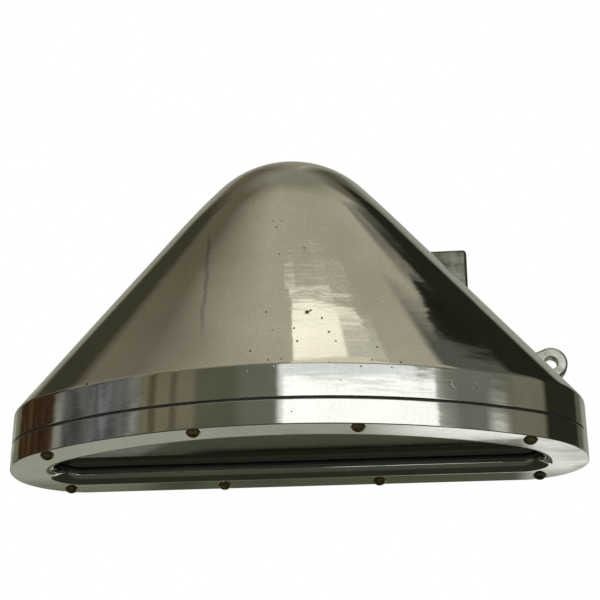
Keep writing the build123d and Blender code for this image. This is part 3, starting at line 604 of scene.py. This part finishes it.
def makeGlass(name, tone, rough=0.0, ior=1.5):
    material, tree = newMaterial(name)
    grain = useGroup(tree, grainGroup, Place=objectPlace(tree), Fine=700.0, Cloud=25.0)
    roughness = mapRange(tree, grain.outputs["Clouds"], 0.4, 0.8, rough, rough + 0.06)
    principled(tree, Base_Color=(*tone, 1.0), Metallic=0.0, Roughness=roughness, IOR=ior,
               Transmission_Weight=1.0, Normal=bump(tree, grain.outputs["Grain"], 0.000002))
    return material


castMetal = makeCasting("polishedCasting")
dullMetal = makeMetal("dullCasting", (0.29, 0.30, 0.245), (0.13, 0.135, 0.10), 0.24, cloud=90.0,
                      grainDepth=0.0002)
earMetal = makeMetal("earCasting", (0.62, 0.62, 0.57), (0.40, 0.40, 0.35), 0.22, cloud=110.0,
                     grainDepth=0.0001)
# Near-black inside of the hood: painted shade for the unlit hollow
innerShadeMetal = makeMetal("innerShadeCasting", (0.035, 0.035, 0.031), (0.014, 0.014, 0.012), 0.55, metallic=0.4,
                       grainDepth=0.0003)
brassMetal = makeMetal("agedBrass", (0.80, 0.62, 0.36), (0.24, 0.165, 0.08), 0.30, cloud=320.0)
steelMetal = makeMetal("stainlessSheet", (0.60, 0.59, 0.57), (0.45, 0.44, 0.42), 0.28)
capMetal = makeMetal("lampCapMetal", (0.74, 0.73, 0.70), (0.55, 0.54, 0.50), 0.22)
solderMetal = makeMetal("solder", (0.55, 0.55, 0.54), (0.35, 0.35, 0.34), 0.38)
wireMetal = makeMetal("tungsten", (0.25, 0.25, 0.25), (0.12, 0.12, 0.12), 0.4)
copperMetal = makeMetal("tinnedCopper", (0.60, 0.57, 0.52), (0.45, 0.36, 0.28), 0.3)
paneGlass = makeGlass("windowGlass", (0.62, 0.71, 0.62))
bulbGlass = makeGlass("bulbGlass", (0.97, 0.97, 0.96), rough=0.02)
gasketRubber = makeMetal("gasketRubber", (0.030, 0.030, 0.028), (0.018, 0.018, 0.017), 0.62, metallic=0.0,
                         grainDepth=0.0001)
porcelain = makeMetal("glazedPorcelain", (0.82, 0.81, 0.76), (0.74, 0.72, 0.66), 0.16, metallic=0.0)
blackGlass = makeMetal("blackGlass", (0.02, 0.02, 0.03), (0.035, 0.03, 0.035), 0.15, metallic=0.0)
leadBlack = makeMetal("leadBlack", (0.03, 0.03, 0.03), (0.05, 0.05, 0.05), 0.5, metallic=0.0)
leadWhite = makeMetal("leadWhite", (0.72, 0.71, 0.67), (0.60, 0.58, 0.53), 0.5, metallic=0.0)
leadGreen = makeMetal("leadGreen", (0.05, 0.24, 0.08), (0.04, 0.17, 0.06), 0.5, metallic=0.0)

nodeMaterials = {
    "cast_aluminium": castMetal, "gasket_rubber": gasketRubber, "brass": brassMetal,
    "clear_glass": paneGlass, "stainless": steelMetal, "porcelain": porcelain,
    "lamp_cap_metal": capMetal, "black_glass": blackGlass,
    "solder": solderMetal, "bulb_glass": bulbGlass, "tungsten": wireMetal, "tinned_copper": copperMetal,
    "lead_black": leadBlack, "lead_white": leadWhite, "lead_green": leadGreen,
}
for entry in frame["record"]["subparts"]:
    data = nodes[entry["node"]].data
    data.materials.clear()
    data.materials.append(nodeMaterials[entry["material_slot"]])
print("materials made:", len(bpy.data.materials))


# Plan outline: six tangent arcs, cut flat by the wall plane. Sizes in mm, heights from the flange

outlineSetup = {
    "halfWidth": 200.0, "depth": 165.0, "widest": 47.0, "backBulge": 9.0, "frontTurn": 56.0,
    "backTurn": 84.0,
    "originHeight": 84.0, "cornerSteps": 18, "sideSteps": 28, "frontSteps": 38, "backSteps": 14,
}
hoodSetup = {
    "top": 221.0, "domeRadius": 75.0, "domeFromWall": 66.6, "seam": 17.5, "rimTop": 39.0, "crease": 1.5,
    "edgeRadius": 0.45, "wall": 5.0, "rimWall": 13.0, "dent": 0.14, "dentSize": 55.0,
}


def arcRadii(across, along, turn):
    s, c = math.sin(math.radians(turn)), math.cos(math.radians(turn))
    share = 1.0 - s - c
    return (across * (1.0 - s) - along * c) / share, (along * (1.0 - c) - across * s) / share


def outlineArcs(across, middle, front, back):
    frontSide, frontEnd = arcRadii(across, middle - front, outlineSetup["frontTurn"])
    backSide, backEnd = arcRadii(across, back - middle, outlineSetup["backTurn"])
    return {
        "frontEnd": (0.0, front + frontEnd, frontEnd),
        "frontSide": (across - frontSide, middle, frontSide),
        "backSide": (across - backSide, middle, backSide),
        "backEnd": (0.0, back - backEnd, backEnd),
    }


def onArc(arc, angle):
    x, y, radius = arc
    return x + radius * math.cos(math.radians(angle)), y + radius * math.sin(math.radians(angle))


def outlineAt(arcs, angle):
    # The angle is the outline's outward normal: 90 at the back, 0 at the right side, -90 at the front
    if angle >= 0:
        return onArc(arcs["backSide" if angle <= outlineSetup["backTurn"] else "backEnd"], angle)
    return onArc(arcs["frontSide" if -angle <= outlineSetup["frontTurn"] else "frontEnd"], angle)


def wallAngle(arcs, wallY):
    if outlineAt(arcs, 90.0)[1] <= wallY:
        return 90.0
    x, y, radius = arcs["backSide"]
    angle = math.degrees(math.asin(min(1.0, (wallY - y) / radius)))
    if angle <= outlineSetup["backTurn"]:
        return angle
    x, y, radius = arcs["backEnd"]
    return math.degrees(math.asin(min(1.0, (wallY - y) / radius)))


def loopAt(shape, wallY, height):
    # One closed ring of points, from the right back corner round the front and back along the wall plane
    o = outlineSetup
    arcs = outlineArcs(*shape)
    start, frontTurn = wallAngle(arcs, wallY), o["frontTurn"]
    rest = 90.0 - frontTurn
    angles = [start * (1 - k / o["cornerSteps"]) for k in range(o["cornerSteps"])]
    angles += [-frontTurn * k / o["sideSteps"] for k in range(o["sideSteps"])]
    angles += [-frontTurn - rest * k / o["frontSteps"] for k in range(o["frontSteps"] + 1)]
    half = [outlineAt(arcs, a) for a in angles]
    ring = half + [(-x, y) for x, y in reversed(half[:-1])]
    edgeX, edgeY = half[0]
    steps = o["backSteps"]
    ring += [(edgeX * (2 * k / steps - 1), edgeY) for k in range(1, steps)]
    z = height - o["originHeight"]
    return [Vector((x, y, z)) * mm for x, y in ring]


def rimShape(inset):
    o = outlineSetup
    return o["halfWidth"] - inset, -o["widest"], inset - o["depth"], o["backBulge"] - inset


def lean(start, centre):
    run, rise = start - centre, hoodSetup["top"] - hoodSetup["domeRadius"] - hoodSetup["rimTop"]
    return math.acos(hoodSetup["domeRadius"] / math.hypot(run, rise)) - math.atan2(rise, run)


def reach(start, centre, height, inset):
    # Distance of the hood's surface from its axis plane at a height: crease, straight flank, dome
    tilt = lean(start, centre)
    above = height - hoodSetup["rimTop"]
    soft = hoodSetup["crease"]
    if inset == 0 and above < soft:
        return start - math.tan(tilt) * max(0.0, above + soft) ** 2 / (4 * soft)
    radius = hoodSetup["domeRadius"] - inset
    up = height - (hoodSetup["top"] - hoodSetup["domeRadius"])
    if up < radius * math.sin(tilt):
        return centre + (radius - up * math.sin(tilt)) / math.cos(tilt)
    return centre + math.sqrt(max(1e-6, radius**2 - up**2))


def hoodShape(height, inset):
    o, h = outlineSetup, hoodSetup
    domeZ = h["top"] - h["domeRadius"]
    sideTop = (h["domeRadius"] - inset) * math.sin(lean(o["halfWidth"], 0.0))
    share = max(0.0, min(1.0, (height - h["rimTop"]) / (domeZ + sideTop - h["rimTop"])))
    middle = -o["widest"] - (h["domeFromWall"] - o["widest"]) * share
    across = reach(o["halfWidth"], 0.0, height, inset)
    front = -reach(o["depth"], h["domeFromWall"], height, inset)
    return across, middle, front, reach(o["backBulge"], -h["domeFromWall"], height, inset)


def ringMesh(name, rings, closed=False, poles=(None, None)):
    # Skins a list of equal rings; poles close the first and last ring to a point
    mesh = bmesh.new()
    rows = [[mesh.verts.new(p) for p in ring] for ring in rings]
    count = len(rings[0])
    pairs = list(zip(rows, rows[1:])) + ([(rows[-1], rows[0])] if closed else [])
    for lower, upper in pairs:
        for k in range(count):
            n = (k + 1) % count
            mesh.faces.new((lower[k], lower[n], upper[n], upper[k]))
    for row, pole in ((rows[0], poles[0]), (rows[-1], poles[1])):
        if pole is not None:
            tip = mesh.verts.new(pole)
            for k in range(count):
                mesh.faces.new((row[k], row[(k + 1) % count], tip))
    bmesh.ops.remove_doubles(mesh, verts=mesh.verts, dist=1e-6)
    bmesh.ops.dissolve_degenerate(mesh, edges=mesh.edges, dist=1e-7)
    bmesh.ops.recalc_face_normals(mesh, faces=mesh.faces)
    return finishMesh(name, mesh)


def finishMesh(name, mesh, sharp=32.0):
    data = bpy.data.meshes.new(name)
    mesh.to_mesh(data)
    mesh.free()
    data.polygons.foreach_set("use_smooth", [True] * len(data.polygons))
    data.set_sharp_from_angle(angle=math.radians(sharp))
    piece = bpy.data.objects.new(name, data)
    scene.collection.objects.link(piece)
    return piece


def place(piece, material, slotName, replaced, body="fixture"):
    if not piece.data.materials:
        piece.data.materials.append(material)
    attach(piece, body)
    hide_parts(*replaced)


def makeHood():
    h, o = hoodSetup, outlineSetup
    domeZ = h["top"] - h["domeRadius"]
    rings = []

    def climb(inset, wallY, start):
        radius = h["domeRadius"] - inset
        heights = [start + (domeZ - start) * k / 30 for k in range(30)]
        heights += [domeZ + radius * math.sin(math.radians(90.0 * k / 40)) for k in range(40)]
        return [loopAt(hoodShape(z, inset), wallY, z) for z in heights]

    inner = climb(h["wall"], -h["wall"], h["rimTop"])
    rings += reversed(inner)
    rings.append(loopAt(rimShape(h["rimWall"]), -h["rimWall"], h["rimTop"]))
    rings.append(loopAt(rimShape(h["rimWall"]), -h["rimWall"], h["seam"]))
    for k in range(5):
        a = math.radians(90.0 * k / 4)
        t, z = h["edgeRadius"] * (1 - math.sin(a)), h["seam"] + h["edgeRadius"] * (1 - math.cos(a))
        rings.append(loopAt(rimShape(t), 0.0, z))
    bandFoot, bandTop = h["seam"] + h["edgeRadius"], h["rimTop"] - h["crease"]
    for share in (0.01, 0.04, 0.5, 0.96, 0.99):
        rings.append(loopAt(rimShape(0.0), 0.0, bandFoot + (bandTop - bandFoot) * share))
    for k in range(6):
        z = h["rimTop"] - h["crease"] + 2 * h["crease"] * k / 6
        rings.append(loopAt(hoodShape(z, 0.0), 0.0, z))
    rings += climb(0.0, 0.0, h["rimTop"] + h["crease"])
    ends = (h["top"] - h["wall"], h["top"])
    tips = [Vector((0.0, -h["domeFromWall"], z - o["originHeight"])) * mm for z in ends]
    hood = ringMesh("castHood", rings, poles=tips)
    data = hood.data
    # The flat back meets the hood in a crisp edge, and the hollow gets a near-black unpolished skin,
    # painted shade for the unlit inside
    data.materials.append(castMetal)
    data.materials.append(innerShadeMetal)
    limit = 0.01 * mm
    flat = [abs(v.co.y) < limit for v in data.vertices]
    edgeFlat = {}
    for poly in data.polygons:
        level = all(flat[v] for v in poly.vertices)
        for key in poly.edge_keys:
            edgeFlat.setdefault(key, []).append(level)
    for edge in data.edges:
        sides = edgeFlat.get(edge.key, [])
        if len(sides) == 2 and sides[0] != sides[1]:
            edge.use_edge_sharp = True
    axis = Vector((0.0, -h["domeFromWall"] * mm, 0.0))
    lowest = (h["seam"] - o["originHeight"] + 0.3) * mm
    for poly in data.polygons:
        toAxis = Vector((axis.x - poly.center.x, axis.y - poly.center.y, 0.05 * (-0.05 - poly.center.z)))
        inside = poly.normal.dot(toAxis) > 0 and poly.center.z > lowest
        poly.material_index = 1 if inside else 0
    # Hand polishing leaves the casting a little wavy
    outward = [v.normal.copy() for v in data.vertices]
    for v, normal in zip(data.vertices, outward):
        if v.co.y < -2 * mm:
            sample = noise.noise(v.co / (h["dentSize"] * mm))
            v.co -= normal * (h["dent"] * mm * (0.5 + 0.5 * sample))
    place(hood, castMetal, "cast_aluminium", ["housing"])


makeHood()
print("cast hood made")

lensSetup = {
    "height": 16.0, "width": 31.0, "ledgeInset": 23.0, "ledge": 8.5, "edge": 0.6, "topEdge": 0.45,
    "lip": 7.0, "edgeSteps": 6, "lipSteps": 12,
}


def quarter(centreT, centreZ, radius, fromAngle, toAngle, steps):
    points = []
    for k in range(steps + 1):
        a = math.radians(fromAngle + (toAngle - fromAngle) * k / steps)
        points.append((centreT + radius * math.cos(a), centreZ + radius * math.sin(a)))
    return points


def makeLensFrame():
    s = lensSetup
    profile = quarter(s["edge"], s["edge"], s["edge"], 180, 270, s["edgeSteps"])
    flat = s["width"] - s["lip"]
    profile += [(s["edge"] + (flat - s["edge"]) * share, 0.0) for share in (0.01, 0.04, 0.5, 0.96, 0.99)]
    profile += quarter(flat, s["lip"], s["lip"], 270, 360, s["lipSteps"])
    profile += [(s["width"], s["lip"] + 0.2), (s["width"], s["ledge"]), (s["ledgeInset"], s["ledge"])]
    profile += [(s["ledgeInset"], s["height"])]
    profile += quarter(s["topEdge"], s["height"] - s["topEdge"], s["topEdge"], 90, 180, 3)
    bandLow, bandHigh = s["edge"], s["height"] - s["topEdge"]
    profile += [(0.0, bandHigh + (bandLow - bandHigh) * share) for share in (0.01, 0.05, 0.5, 0.95, 0.99)]
    rings = [loopAt(rimShape(t), -t, z) for t, z in profile]
    lens = ringMesh("lensFrame", rings, closed=True)
    place(lens, castMetal, "cast_aluminium", ["lens_frame"])


makeLensFrame()
print("lens frame made")

earSetup = {
    "x": 183.0, "z": 84.0, "radius": 12.0, "hole": 4.75, "thick": 10.0, "edge": 2.2, "rootX": 140.0,
    "rootZ": 64.0, "rootRadius": 14.0, "steps": 96, "back": -0.2,
}


def hullReach(angle, inset):
    # Distance from the ear's centre to the hull of the two round ends, in the direction angle
    s = earSetup
    ray = Vector((math.cos(angle), math.sin(angle)))
    root = Vector((s["rootX"] - s["x"], s["rootZ"] - s["z"]))
    bigR, smallR = s["rootRadius"] - inset, s["radius"] - inset
    best = smallR
    for k in range(61):
        share = k / 60
        centre = root * share
        radius = smallR + (bigR - smallR) * share
        along = centre.dot(ray)
        gap = radius**2 - (centre.length_squared - along**2)
        if gap > 0:
            best = max(best, along + math.sqrt(gap))
    return best


def makeEar(side):
    s = earSetup
    angles = [2 * math.pi * k / s["steps"] for k in range(s["steps"])]

    def ring(inset, y, hole=False, widen=0.0):
        points = []
        for a in angles:
            r = s["hole"] + widen if hole else hullReach(a, inset)
            x, z = s["x"] + r * math.cos(a), s["z"] + r * math.sin(a) - outlineSetup["originHeight"]
            points.append(Vector((side * x, y, z)) * mm)
        return points

    rings = [ring(0, s["back"])]
    for k in range(7):
        a = math.radians(90 * k / 6)
        front = -(s["thick"] - s["edge"]) - s["edge"] * math.sin(a)
        rings.append(ring(s["edge"] * (1 - math.cos(a)), front))
    rings.append(ring(0, -s["thick"], True, 0.5))
    rings.append(ring(0, -s["thick"] + 0.5, True))
    rings.append(ring(0, -0.5 + s["back"], True))
    rings.append(ring(0, s["back"], True, 0.5))
    ear = ringMesh("earRight" if side > 0 else "earLeft", rings, closed=True)
    place(ear, earMetal, "cast_aluminium", ["housing"])


makeEar(1)
makeEar(-1)

bossSetup = {
    "root": 60.0, "end": 125.5, "size": 34.0, "bottom": 133.0, "edge": 3.0, "bore": 10.0,
    "boreDepth": 20.0, "way": 7.0, "back": -0.2,
}


def makeBoss():
    s = bossSetup
    centreY, centreZ = -s["size"] / 2, s["bottom"] + s["size"] / 2

    def section(inset):
        corner = max(0.2, s["edge"] - inset)
        low, high, front = s["bottom"] + inset, s["bottom"] + s["size"] - inset, -s["size"] + inset
        steps = [front * k / 8 for k in range(1, 8) if abs(front * k / 8) < -front - corner]
        points = [(0.0, low)] + [(y, low) for y in steps]
        for k in range(7):
            a = math.radians(270 - 90 * k / 6)
            points.append((front + corner + corner * math.cos(a), low + corner + corner * math.sin(a)))
        points += [(front, low + corner + (high - low - 2 * corner) * k / 6) for k in range(1, 6)]
        for k in range(7):
            a = math.radians(180 - 90 * k / 6)
            points.append((front + corner + corner * math.cos(a), high - corner + corner * math.sin(a)))
        points += [(y, high) for y in reversed(steps)]
        points += [(0.0, high)] + [(0.0, high + (low - high) * k / 8) for k in range(1, 8)]
        return points

    def ring(points, x):
        return [Vector((x, min(y, s["back"]), z - outlineSetup["originHeight"])) * mm for y, z in points]

    def circle(radius, points):
        out = []
        for y, z in points:
            away = Vector((y - centreY, z - centreZ)).normalized() * radius
            out.append((centreY + away.x, centreZ + away.y))
        return out

    base = section(0.0)
    count = len(base)
    rings = [ring(base, s["root"] + 4 + (s["end"] - s["edge"] - s["root"] - 4) * k / 6) for k in range(7)]
    last = base
    for k in range(1, 7):
        a = math.radians(90 * k / 6)
        points = section(s["edge"] * (1 - math.cos(a)))
        if len(points) != count:
            points = last
        last = points
        rings.append(ring(points, s["end"] - s["edge"] + s["edge"] * math.sin(a)))
    hole = circle(s["bore"], last)
    rings.append(ring(circle(s["bore"] + 0.6, last), s["end"]))
    rings.append(ring(hole, s["end"] - 0.6))
    rings.append(ring(hole, s["end"] - s["boreDepth"]))
    rings.append(ring(circle(s["way"], last), s["end"] - s["boreDepth"]))
    rings.append(ring(circle(s["way"], last), s["root"] + 4))
    boss = ringMesh("cableBoss", rings, closed=True)
    place(boss, dullMetal, "cast_aluminium", ["housing"])


makeBoss()
print("ears and boss made")


def writeSizes():
    print("scene built")


writeSizes()
